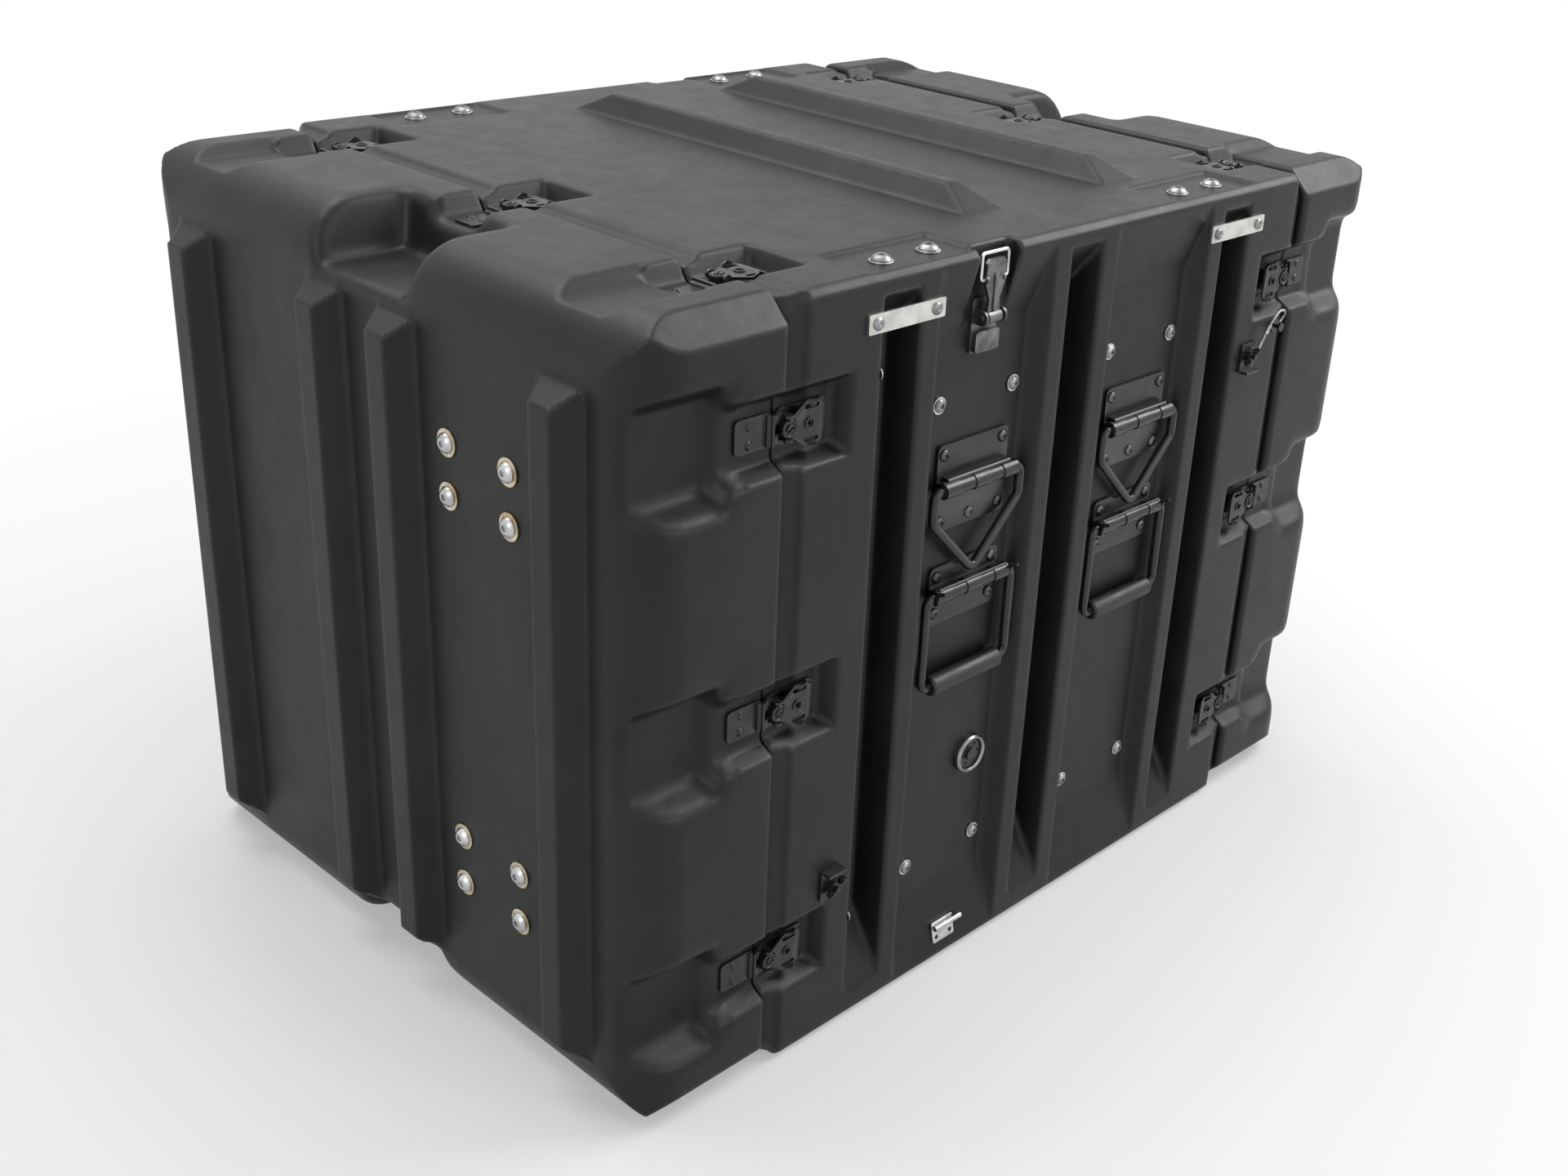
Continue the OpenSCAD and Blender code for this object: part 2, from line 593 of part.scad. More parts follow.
module lift_ring() color([0.12, 0.12, 0.12]) translate([0, 0, rod_lift]) {
  s = barrel_half + rod_d + 1;
  bent_rod([[-s, 0], [-s, s - ring_drop], [0, -ring_drop], [s, s - ring_drop], [s, 0]], rod_d, rod_d);
}
module ring_near_left() near_ch(-1, ring_z) lift_ring();
module ring_near_right() near_ch(1, ring_z) lift_ring();
module ring_far_left() far_ch(1, ring_z) lift_ring();
module ring_far_right() far_ch(-1, ring_z) lift_ring();

module carry_handle() color([0.12, 0.12, 0.12]) translate([0, 0, rod_lift]) {
  s = barrel_half + rod_d + 1;
  bent_rod([[-s, 0], [-s, -handle_drop], [s, -handle_drop], [s, 0]], rod_d, rod_d);
}
module handle_near_left() near_ch(-1, handle_z) carry_handle();
module handle_near_right() near_ch(1, handle_z) carry_handle();
module handle_far_left() far_ch(1, handle_z) carry_handle();
module handle_far_right() far_ch(-1, handle_z) carry_handle();

module grip() color([0.05, 0.05, 0.05]) translate([0, -handle_drop, rod_lift]) rotate([0, 90, 0])
  rotate_extrude($fn = 48) difference() {
    translate([rod_d/2 + 0.02, -grip_l/2]) square([grip_d/2 - rod_d/2 - 0.02, grip_l]);
    for (s = [-1, 1]) translate([grip_d/2, s*grip_l/2]) rotate([0, 0, 45]) square(2.4, center = true);
  }
module grip_near_left() near_ch(-1, handle_z) grip();
module grip_near_right() near_ch(1, handle_z) grip();
module grip_far_left() far_ch(1, handle_z) grip();
module grip_far_right() far_ch(-1, handle_z) grip();

module pan_head() rotate_extrude($fn = 32) polygon([[0, 0], [screw_r, 0], [screw_r, 0.9],
  [screw_r - 1, 2], [screw_r - 2.4, screw_h], [1.6, screw_h], [0, 1.4]]);

module plate_screws() color([0.3, 0.3, 0.31]) channels(0) {
  for (x = [-35.5, 35.5]) translate([x, ring_z + 26, plate_t]) pan_head();
  for (x = [-35.5, 0, 35.5]) translate([x, ring_z - 31, plate_t]) pan_head();
  for (x = [-34, 34], y = [12.5, -20]) translate([x, handle_z + y, plate_t]) pan_head();
}
module panel_screws() color([0.6, 0.6, 0.6]) {
  edge_screws() pan_head();
  // these hold the strips, in inserts moulded into the wall
  strip_bolts() union() {
    pan_head();
    translate([0, 0, -wall - plate_t]) cylinder(d = bolt_d, h = wall + plate_t + 1, $fn = 32);
  }
}

// ---------- stacking toggle ----------

lever_l = 46;
wire_at = 30;
toggle_lift = 9;
module at_toggle() on_side(-chan_x, toggle_z, chan_d) children();

module toggle_base() color([0.55, 0.55, 0.56]) difference() {
  union() {
    translate([0, -8, 0]) linear_extrude(2) rounded(30, 44, 3);
    translate([0, -20, 2]) linear_extrude(5) rounded(28, 17, 3);
    for (s = [-1, 1]) translate([s*11, 0, 0]) rotate([90, 0, 90]) linear_extrude(2.4, center = true)
      union() {
        translate([-6, 1]) square([12, toggle_lift - 1]);
        translate([0, toggle_lift]) circle(6, $fn = 32);
      }
    translate([0, 0, toggle_lift]) rotate([0, 90, 0])
      cylinder(d = 5, h = 27, center = true, $fn = 32);
  }
}
module toggle_bases() both_sides() at_toggle() toggle_base();

module toggle_lever() color([0.42, 0.42, 0.43]) difference() {
  union() {
    translate([0, 0, toggle_lift - 1.5]) linear_extrude(3)
      polygon([[-7.5, 0], [-6, 14], [-11, 26], [-11, lever_l - 3], [-8, lever_l],
               [8, lever_l], [11, lever_l - 3], [11, 26], [6, 14], [7.5, 0]]);
    translate([0, 0, toggle_lift]) rotate([0, 90, 0]) cylinder(r = 5.2, h = 15, center = true, $fn = 32);
    translate([0, 20, toggle_lift + 1.4]) rotate([0, 0, 90]) linear_extrude(1.5) rounded(30, 4, 1.8);
    for (s = [-1, 1]) translate([s*9.8, wire_at, toggle_lift - 1]) rotate([0, 90, 0])
      cylinder(r = 3.6, h = 2.4, center = true, $fn = 32);
  }
  translate([0, 0, toggle_lift]) rotate([0, 90, 0])
    cylinder(r = 2.5 + rod_fit, h = 60, center = true, $fn = 32);
  translate([0, wire_at, toggle_lift - 1]) rotate([0, 90, 0])
    cylinder(r = 1.5 + rod_fit, h = 60, center = true, $fn = 32);
}
module toggle_lever_near() at_toggle() toggle_lever();
module toggle_lever_far() left() at_toggle() toggle_lever();

module toggle_wire() color([0.75, 0.75, 0.76]) translate([0, wire_at, toggle_lift - 1])
  bent_rod([[-15.5, 0], [15.5, 0], [15.5, 21], [-15.5, 21]], 3, 3);
module toggle_wire_near() at_toggle() toggle_wire();
module toggle_wire_far() left() at_toggle() toggle_wire();

// Catch that the toggle of the case below grips.
module stacking_catches() color([0.78, 0.78, 0.78]) both_sides()
  on_side(-chan_x, chan_slope_lo[0], 0)
    rotate([-atan2(chan_d, chan_slope_lo[1] - chan_slope_lo[0]), 0, 0]) translate([0, 21, 0.1]) {
      difference() {
        union() {
          linear_extrude(2) rounded(28, 20, 2);
          translate([0, 3, 3.5]) cube([16, 5, 5], center = true);
          translate([4, 5, 4.6]) rotate([0, 90, 0]) cylinder(d = 5, h = 34, center = true, $fn = 32);
        }
        for (x = [-9, 9]) translate([x, -5, 0]) cylinder(d = 4, h = 9, center = true, $fn = 32);
      }
    }

// ---------- bolts, strips, valve, brackets ----------

// Button-head bolt and nut through a wall of thickness w, k sizes its head.
module button_bolt(w, seat, k = 1) difference() {
  union() {
    translate([0, 0, seat]) rotate_extrude($fn = 32) polygon(k*[[0, 0], [bolt_head_r, 0],
      [bolt_head_r, 1], [bolt_head_r - 1.6, 3], [bolt_head_r - 4, bolt_head_h], [0, bolt_head_h]]);
    translate([0, 0, -w - 8]) cylinder(d = bolt_d, h = w + 8 + seat, $fn = 32);
    translate([0, 0, -w - 6.4]) cylinder(r = 7, h = 6.4, $fn = 6);
  }
  translate([0, 0, seat + 2*k]) cylinder(r = 2.9*k, h = 6, $fn = 6);
}
module washer(r) difference() {
  cylinder(r = r, h = washer_t, $fn = 48);
  cylinder(r = bolt_d/2 + bolt_clear, h = 9, center = true, $fn = 32);
}

module mount_bolts() color([0.7, 0.7, 0.7]) {
  top_bolts() button_bolt(wall - pad_d, washer_t);
  channel_bolts() button_bolt(wall + 3, washer_t, 0.68);
}
module mount_washers() color([0.72, 0.7, 0.6]) {
  top_bolts() washer(washer_r - 1.5);
  channel_bolts() washer(chan_washer_r);
}

module mount_strips() color([0.83, 0.83, 0.82]) both_sides() for (s = [-1, 1])
  on_side(s*(strip_x[0] + strip_x[1])/2, strip_z) difference() {
    linear_extrude(plate_t) rounded(82, 15, 1.5);
    for (m = [-1, 1]) translate([m*(strip_x[1] - strip_x[0])/2, 0, 0])
      cylinder(r = bolt_d/2 + bolt_clear, h = 9, center = true, $fn = 32);
  }

module cover_bolts() color([0.72, 0.72, 0.72]) cover_bolt_spots() button_bolt(wall, washer_t);
module cover_washers() color([0.72, 0.66, 0.48]) cover_bolt_spots() washer(washer_r);
module left_cover_bolts() left() cover_bolts();
module right_cover_bolts() cover_bolts();
module left_cover_washers() left() cover_washers();
module right_cover_washers() cover_washers();

module at_valve() on_side(valve_at[0], valve_at[1], chan_d) children();
module valve_ring() color([0.8, 0.8, 0.8]) at_valve() rotate_extrude($fn = 64)
  polygon([[14, 0], [18, 0], [18, 4], [16.6, 6], [15.4, 6], [14, 4.6]]);
module valve_body() color([0.08, 0.08, 0.08]) at_valve() difference() {
  union() {
    translate([0, 0, -14]) cylinder(r = 10, h = 15, $fn = 48);
    cylinder(r = 13.6, h = 3, $fn = 64);
    translate([0, 0, 3]) cylinder(r = 6, h = 2.6, $fn = 48);
  }
  for (a = [0:60:300]) rotate([0, 0, a]) translate([9.6, 0, 2]) cylinder(r = 1.6, h = 3, $fn = 16);
}

// Small angle bracket with a stud and wing nut.
module side_bracket() union() {
  linear_extrude(2.4) rounded(24, 28, 3);
  translate([0, 12.8, 5]) cube([20, 2.4, 10], center = true);
  translate([0, -2, 2.4]) cylinder(r = 5.6, h = 4.4, $fn = 6);
  translate([0, -2, 2.4]) cylinder(d = 5, h = 8.6, $fn = 32);
  for (s = [-1, 1]) rotate([0, 0, 35]) translate([s*7.2, -2, 7.2]) rotate([90, 0, 0])
    cylinder(r = 3.8, h = 2, center = true, $fn = 32);
}
module side_brackets() color([0.09, 0.09, 0.09]) {
  both_sides() {
    on_side(-bracket_x, bracket_z[1]) side_bracket();
    on_side(bracket_x, bracket_z[0]) rotate([0, 0, 180]) side_bracket();
  }
  on_side(lanyard_points[0][0] - 1, lanyard_points[0][2] - 4) union() {
    cylinder(r = 6, h = 1.6, $fn = 32);
    cylinder(r = 2, h = 8, $fn = 32);
    translate([0, 0, 6.6]) cylinder(r = 4.2, h = 2, $fn = 32);
  }
}

// Wire lanyard as a plain tube along its hand-picked route.
module tube(p, r, sides) {
  n = len(p);
  dirs = [for (i = [0:n - 1]) unitv(p[min(i + 1, n - 1)] - p[max(i - 1, 0)])];
  side = [for (i = [0:n - 1]) unitv(cross(dirs[i], [0, 1, 0]))];
  pts = [for (i = [0:n - 1], k = [0:sides - 1])
    p[i] + r*(cos(360*k/sides)*side[i] + sin(360*k/sides)*cross(side[i], dirs[i]))];
  polyhedron(pts, concat(
    [for (i = [0:n - 2], k = [0:sides - 1]) let (q = (k + 1) % sides)
      [i*sides + k, (i + 1)*sides + k, (i + 1)*sides + q, i*sides + q]],
    [[for (k = [0:sides - 1]) k]],
    [[for (k = [0:sides - 1]) (n - 1)*sides + sides - 1 - k]]));
}
module lanyard() color([0.35, 0.35, 0.35])
  tube([for (p = lanyard_points) [p[0], -hw - p[1], p[2]]], 1.3, 8);

// ---------- sprung rack frame ----------

rubber_h = chan_floor - wall - frame_out - 6;
module at_mounts() both_sides() for (s = [-1, 1], z = mount_z)
  on_side(s*chan_x, z, chan_d + wall) rotate([180, 0, 0]) children();

module shock_rubbers() color([0.06, 0.06, 0.06]) at_mounts() translate([0, 0, 3])
  rotate_extrude($fn = 48) difference() {
    square([mount_d/2, rubber_h]);
    translate([mount_d/2 + 6, rubber_h/2]) circle(9, $fn = 48);
  }
module shock_plates() color([0.5, 0.5, 0.5]) at_mounts() {
  difference() {
    linear_extrude(3) rounded(2*mount_half + 22, 46, 4);
    for (m = [-1, 1]) translate([m*mount_half, 0, 0])
      cylinder(r = bolt_d/2 + bolt_clear, h = 9, center = true, $fn = 32);
  }
  translate([0, 0, 3 + rubber_h]) linear_extrude(3) rounded(52, 46, 4);
}

// Welded frame: tube posts, pressed channels along the sides and across.
module frame_parts(cut) {
  in = cut ? 2*frame_t : 0;
  for (s = [-1, 1], e = [-1, 1]) {
    translate([e*(post_x - post_w/2), s*(frame_in + post_t/2), mid_z])
      cube([post_w - in, post_t - in, frame_h + in], center = true);
    translate([0, s*(frame_in + (post_t - in)/2), mount_z[e > 0 ? 0 : 1]])
      cube([2*(post_x - post_w) + (cut ? -4 : eps), post_t, beam_h - in], center = true);
    translate([e*(post_x - post_w/2), 0, mid_z + s*((frame_h - post_t + in)/2)])
      cube([post_w - in, 2*frame_in + (cut ? -4 : eps), post_t], center = true);
  }
}
module rack_frame() color([0.2, 0.2, 0.21]) difference() {
  frame_parts(false);
  frame_parts(true);
}

module rail() difference() {
  union() {
    translate([0, frame_in - 22, 0]) cube([2.5, 22, rail_h]);
    translate([-38, frame_in - 2.5, 0]) cube([39, 2.5, rail_h]);
  }
  for (u = [0:rack_units - 1], h = [6.35, 22.225, 38.1])
    translate([0, rail_pitch/2, u*unit + h]) rotate([0, 90, 0])
      cylinder(d = rail_hole, h = 20, center = true, $fn = 24);
}
module rack_rails() color([0.62, 0.62, 0.63]) for (e = [0, 1], s = [0, 1])
  mirror([e, 0, 0]) mirror([0, s, 0]) translate([post_x, 0, mid_z - rail_h/2]) rail();

sleeve();
left_cover();
right_cover();
left_gasket();
right_gasket();
left_keepers();
right_keepers();
left_cover_bolts();
right_cover_bolts();
left_cover_washers();
right_cover_washers();
latch_bases();
latch_hooks();
latch_studs();
hidden_latch_wings();
wing_left_top_near();
wing_left_top_middle();
wing_left_top_far();
wing_left_side_lower();
wing_left_side_middle();
wing_left_side_upper();
wing_right_top_near();
wing_right_top_middle();
wing_right_top_far();
wing_right_side_lower();
wing_right_side_middle();
wing_right_side_upper();
ring_plates();
ring_near_left();
ring_near_right();
ring_far_left();
ring_far_right();
handle_plates();
handle_near_left();
handle_near_right();
handle_far_left();
handle_far_right();
grip_near_left();
grip_near_right();
grip_far_left();
grip_far_right();
plate_screws();
panel_screws();
toggle_bases();
toggle_lever_near();
toggle_lever_far();
toggle_wire_near();
toggle_wire_far();
stacking_catches();
mount_strips();
mount_bolts();
mount_washers();
valve_ring();
valve_body();
side_brackets();
lanyard();
shock_rubbers();
shock_plates();
rack_frame();
rack_rails();
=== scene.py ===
# %% [markdown]
# # A shock-mount rack case
# The real object is a black rotomoulded sleeve with two lift-off covers, pressed steel
# latches and handles, and a sprung steel rack frame inside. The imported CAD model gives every
# size and place, so this script only dresses it: softer mouldings, round wire, grain and wear.

# %% Load the frame
import random
from math import cos, pi, radians, sin

import bpy
from mathutils import Matrix, Vector


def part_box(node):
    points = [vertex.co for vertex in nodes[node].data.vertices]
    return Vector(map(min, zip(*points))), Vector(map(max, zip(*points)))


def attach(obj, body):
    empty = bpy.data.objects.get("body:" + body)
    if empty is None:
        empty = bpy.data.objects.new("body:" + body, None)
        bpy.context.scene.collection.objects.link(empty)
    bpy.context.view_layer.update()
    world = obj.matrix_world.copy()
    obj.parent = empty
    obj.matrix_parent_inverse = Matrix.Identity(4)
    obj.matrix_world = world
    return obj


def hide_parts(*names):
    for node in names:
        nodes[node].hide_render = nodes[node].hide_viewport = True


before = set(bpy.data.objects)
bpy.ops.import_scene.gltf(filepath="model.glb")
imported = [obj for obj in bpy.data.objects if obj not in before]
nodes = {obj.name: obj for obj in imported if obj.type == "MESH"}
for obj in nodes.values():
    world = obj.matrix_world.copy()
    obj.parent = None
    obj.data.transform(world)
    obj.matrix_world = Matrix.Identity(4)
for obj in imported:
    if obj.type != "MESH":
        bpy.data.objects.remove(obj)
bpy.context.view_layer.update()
MM = 0.001

# %% [markdown]
# The camera stands low at the near left corner, about a metre and a half from the case, so the
# long side runs away steeply. It is made first, together with the light: a broad soft ceiling
# makes the top panel read mid grey while the sides stay nearly black.

# %% Camera
camera = bpy.data.objects.new("camera", bpy.data.cameras.new("camera"))
bpy.context.scene.collection.objects.link(camera)
camera.location = (-1.1795, -1.1693, 1.0096)
camera.rotation_euler = (radians(65.077), radians(-3.349), radians(-47.0))
camera.data.sensor_width = 36
camera.data.lens = 42.18
camera.data.shift_x = -0.0645
camera.data.shift_y = -0.0104
camera.data.clip_start = 0.01
bpy.context.scene.camera = camera
print("lens", round(camera.data.lens, 2))

# %% Lights


def softbox(name, place, aim, size, watts):
    """A square area lamp that looks at a point."""
    lamp = bpy.data.objects.new(name, bpy.data.lights.new(name, "AREA"))
    bpy.context.scene.collection.objects.link(lamp)
    lamp.location = place
    lamp.rotation_euler = (Vector(aim) - Vector(place)).to_track_quat("-Z", "Y").to_euler()
    lamp.data.size = size
    lamp.data.energy = watts


softbox("ceiling", (-0.3, 0.9, 3.2), (0, 0, 0.5), 2.6, 70)
softbox("right key", (2.0, -1.1, 2.4), (0, 0, 0.4), 1.6, 60)
softbox("left fill", (-3.0, -0.8, 1.6), (-0.3, 0, 0.35), 1.6, 18)
softbox("near fill", (0.6, -3.0, 1.5), (0.1, 0, 0.3), 1.6, 18)

# %% [markdown]
# ## Lanyard
# A short stainless wire rope ties the cover to the case. Three strands are laid round one
# smooth route, so it glints along its twist as wire rope does. The route repeats the points of
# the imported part. It leaves a stud below the upper right latch, loops over the latch pocket
# and goes back into the little bracket under it.

# %% Lanyard route
ROUTE_MM = ((308, 5, 518), (311, 6, 523), (310, 8, 528), (305, 9, 531), (298, 9, 531),
            (292, 9, 527), (287, 8, 520), (283, 7, 512), (280, 6, 505), (276, 6, 499))
near_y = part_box("sleeve")[0][1]


def smooth_route(points, steps):
    """A Catmull-Rom line through the points, with a number of steps between two of them."""
    ends = [points[0]] + points + [points[-1]]
    line = []
    for a, b, c, d in zip(ends, ends[1:], ends[2:], ends[3:]):
        for k in range(steps):
            t = k / steps
            line.append(0.5 * (2 * b + (c - a) * t + (2 * a - 5 * b + 4 * c - d) * t ** 2
                               + (3 * b - a - 3 * c + d) * t ** 3))
    return line + [points[-1]]


knots = [Vector((x * MM, near_y - out * MM, z * MM)) for x, out, z in ROUTE_MM]

# %% Wire rope
ROPE_D, STRANDS, LAY_MM = 2.6, 3, 8


def strand_curve(line, number):
    """One strand: a thin round curve that winds about the line."""
    data = bpy.data.curves.new("strand", "CURVE")
    data.dimensions = "3D"
    data.bevel_depth = 0.25 * ROPE_D * MM
    data.bevel_resolution = 2
    data.use_fill_caps = True
    spline = data.splines.new("POLY")
    spline.points.add(len(line) - 1)
    run = 0.0
    for i, point in enumerate(line):
        ahead = (line[min(i + 1, len(line) - 1)] - line[max(i - 1, 0)]).normalized()
        across = ahead.cross(Vector((0, 1, 0))).normalized()
        turn = 2 * pi * (run / (LAY_MM * MM) + number / STRANDS)
        offset = across * cos(turn) + ahead.cross(across) * sin(turn)
        spline.points[i].co = (*(point + offset * 0.25 * ROPE_D * MM), 1)
        if i + 1 < len(line):
            run += (line[i + 1] - point).length
    obj = bpy.data.objects.new("strand", data)
    bpy.context.scene.collection.objects.link(obj)
    return obj


bpy.ops.object.select_all(action="DESELECT")
for strand in [strand_curve(smooth_route(knots, 16), k) for k in range(STRANDS)]:
    strand.select_set(True)
    bpy.context.view_layer.objects.active = strand
bpy.ops.object.convert(target="MESH")
bpy.ops.object.join()
wire_rope_piece = bpy.context.view_layer.objects.active
wire_rope_piece.name = wire_rope_piece.data.name = "lanyard_rope"
print(len(wire_rope_piece.data.polygons), "faces")

# %% [markdown]
# The eye of the rope is closed by a crimped sleeve. It is a cylinder with three rings cut in;
# the middle ring is squeezed, as the crimping tool leaves it, and the rims are bevelled.

# %% Crimped sleeve
SLEEVE_L, SLEEVE_R = 9, 2.1
here = (knots[6] + knots[7]) / 2
along = (knots[7] - knots[6]).normalized()
bpy.ops.object.select_all(action="DESELECT")
bpy.ops.mesh.primitive_cylinder_add(vertices=28, radius=SLEEVE_R * MM, depth=SLEEVE_L * MM)
crimp = bpy.context.object
crimp.name = crimp.data.name = "lanyard_sleeve"
bpy.ops.object.mode_set(mode="EDIT")
for cut in (-2.2, 0, 2.2):
    bpy.ops.mesh.select_all(action="SELECT")
    bpy.ops.mesh.bisect(plane_co=(0, 0, cut * MM), plane_no=(0, 0, 1))
bpy.ops.object.mode_set(mode="OBJECT")
for vertex in crimp.data.vertices:
    if abs(vertex.co.z) < 0.1 * MM:
        vertex.co.x *= 0.8
        vertex.co.y *= 0.8
rims = crimp.modifiers.new("rims", "BEVEL")
rims.width = 0.4 * MM
rims.segments = 3
rims.limit_method = "ANGLE"
bpy.ops.object.modifier_apply(modifier="rims")
crimp.location = here
crimp.rotation_euler = along.to_track_quat("Z", "Y").to_euler()
bpy.ops.object.transform_apply(location=True, rotation=True, scale=True)
bpy.ops.object.shade_smooth_by_angle(angle=radians(35))
for piece in (wire_rope_piece, crimp):
    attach(piece, "case")
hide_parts("lanyard")
print("rope and its sleeve")

# %% [markdown]
# One helper turns a written sRGB colour to the linear values that shaders need, one adds a
# shader node, and one starts a material. Pattern sizes are given in millimetres.

# %% Material helpers


def linear(hex_colour):
    """sRGB hex such as #1c1c1e as linear RGBA."""
    parts = [int(hex_colour[i:i + 2], 16) / 255 for i in (1, 3, 5)]
    return [c / 12.92 if c <= 0.04045 else ((c + 0.055) / 1.055) ** 2.4 for c in parts] + [1.0]


def add(tree, kind, inputs=None, **settings):
    """One shader node with its settings, and its inputs set or linked."""
    node = tree.nodes.new("ShaderNode" + kind)
    for key, value in settings.items():
        setattr(node, key, value)
    for key, value in (inputs or {}).items():
        if isinstance(value, bpy.types.NodeSocket):
            tree.links.new(value, node.inputs[key])
        else:
            node.inputs[key].default_value = value
    return node


def new_finish(name, **sockets):
    """A material with a Principled shader, its constant sockets and the Object coordinates."""
    material = bpy.data.materials.new(name)
    material.use_nodes = True
    tree = material.node_tree
    shader = tree.nodes["Principled BSDF"]
    for key, value in sockets.items():
        shader.inputs[key.replace("_", " ")].default_value = value
    here = add(tree, "TexCoord").outputs["Object"]
    return material, tree, shader, here


def noise(tree, here, size_mm, detail=2.0, stretch=(1, 1, 1), **inputs):
    """Soft random pattern whose blobs are about size_mm across."""
    place = add(tree, "Mapping", {"Vector": here, "Scale": stretch}).outputs["Vector"]
    return add(tree, "TexNoise", {"Vector": place, "Scale": 1000 / size_mm, "Detail": detail,
                                  **inputs}).outputs["Fac"]


def remap(tree, value, low, high, to_low, to_high):
    """Value from low..high as to_low..to_high, clamped."""
    return add(tree, "MapRange", {"Value": value, "From Min": low, "From Max": high,
                                  "To Min": to_low, "To Max": to_high}).outputs["Result"]


def blend_colours(tree, amount, dark, light):
    """Colour between two, each a hex string or a socket."""
    ends = [linear(c) if isinstance(c, str) else c for c in (dark, light)]
    return add(tree, "Mix", {0: amount, 6: ends[0], 7: ends[1]}, data_type="RGBA").outputs[2]


def relief(tree, shader, height, depth_mm, strength=1.0, under=None):
    """Bump of a real depth, on top of another bump if one is given."""
    inputs = {"Height": height, "Distance": depth_mm * MM, "Strength": strength}
    if under is not None:
        inputs["Normal"] = under
    bump = add(tree, "Bump", inputs).outputs["Normal"]
    tree.links.new(bump, shader.inputs["Normal"])
    return bump


print("helpers ready")

# %% [markdown]
# ## Rotomoulded polyethylene
# Powder melts against a heated mould and takes its blasted surface, so the skin has a fine
# grain over a gentle orange peel. It is a dull black with a waxy sheen, mottled where it
# has been handled, with the edges rubbed slightly grey.

# %% Polyethylene
PEEL_MM, GRAIN_MM, MOTTLE_MM, SCUFF_MM = 9, 1.6, 70, 26


def rotomoulded_polyethylene():
    material, tree, shader, here = new_finish("rotomoulded polyethylene", IOR=1.5,
                                              Specular_IOR_Level=0.3)
    mottle = noise(tree, here, MOTTLE_MM, 4)
    skin = blend_colours(tree, remap(tree, mottle, 0.35, 0.7, 0, 1), "#131415", "#1c1d1e")
    scuff = noise(tree, here, SCUFF_MM, 8, (1, 1, 0.5), Roughness=0.75)
    skin = blend_colours(tree, remap(tree, scuff, 0.62, 0.8, 0, 0.35), skin, "#2f3031")
    edge = add(tree, "NewGeometry").outputs["Pointiness"]
    worn = add(tree, "Math", {0: remap(tree, edge, 0.512, 0.56, 0, 1), 1: mottle},
               operation="MULTIPLY").outputs[0]
    skin = blend_colours(tree, worn, skin, "#3c3d3f")
    tree.links.new(skin, shader.inputs["Base Color"])
    tree.links.new(remap(tree, scuff, 0.3, 0.75, 0.36, 0.5), shader.inputs["Roughness"])
    peel = relief(tree, shader, noise(tree, here, PEEL_MM, 2), 0.25, 0.5)
    relief(tree, shader, noise(tree, here, GRAIN_MM, 3), 0.12, 0.6, peel)
    return material


polyethylene = rotomoulded_polyethylene()
print(polyethylene.name)

# %% [markdown]
# ## Metals and rubbers
# The latches and handles are pressed steel with black powder coat, which levels to a satin
# skin with a faint pebble. Bolts are zinc plated, washers yellow passivated, the strips bare
# brushed aluminium. Each metal keeps the default IOR and differs by colour and grain.

# %% Painted and plated steel


def powder_coat(name, colour, worn_colour, rough=0.38):
    material, tree, shader, here = new_finish(name, IOR=1.5)
    cloud = noise(tree, here, 18, 4)
    edge = add(tree, "NewGeometry").outputs["Pointiness"]
    worn = add(tree, "Math", {0: remap(tree, edge, 0.53, 0.62, 0, 0.8), 1: cloud},
               operation="MULTIPLY").outputs[0]
    tree.links.new(blend_colours(tree, worn, colour, worn_colour), shader.inputs["Base Color"])
    tree.links.new(remap(tree, cloud, 0.3, 0.7, rough - 0.06, rough + 0.1),
                   shader.inputs["Roughness"])
    relief(tree, shader, noise(tree, here, 0.9, 2), 0.04, 0.5)
    return material


def metal(name, dark, light, rough, grain_mm, stretch=(1, 1, 1), depth_mm=0.02, tint=None):
    """Bare or plated metal: two tones, a grain that may be drawn out, and some tarnish."""
    material, tree, shader, here = new_finish(name, Metallic=1.0)
    cloud = noise(tree, here, 14, 5)
    colour = blend_colours(tree, remap(tree, cloud, 0.35, 0.65, 0, 1), dark, light)
    if tint:
        stain = noise(tree, here, 6, 5)
        colour = blend_colours(tree, remap(tree, stain, 0.5, 0.7, 0, 0.6), colour, tint)
    tree.links.new(colour, shader.inputs["Base Color"])
    grain = noise(tree, here, grain_mm, 4, stretch)
    tree.links.new(remap(tree, grain, 0.3, 0.7, rough - 0.07, rough + 0.1),
                   shader.inputs["Roughness"])
    relief(tree, shader, grain, depth_mm, 0.5)
    return material


def rubber(name, colour, dusty, rough, grain_mm):
    """Moulded rubber: matt, faintly dusty, with a fine pore."""
    material, tree, shader, here = new_finish(name, IOR=1.52)
    dust = noise(tree, here, 22, 6)
    tree.links.new(blend_colours(tree, remap(tree, dust, 0.45, 0.75, 0, 0.7), colour, dusty),
                   shader.inputs["Base Color"])
    tree.links.new(remap(tree, dust, 0.3, 0.7, rough - 0.08, rough + 0.08),
                   shader.inputs["Roughness"])
    relief(tree, shader, noise(tree, here, grain_mm, 3), 0.05, 0.6)
    return material


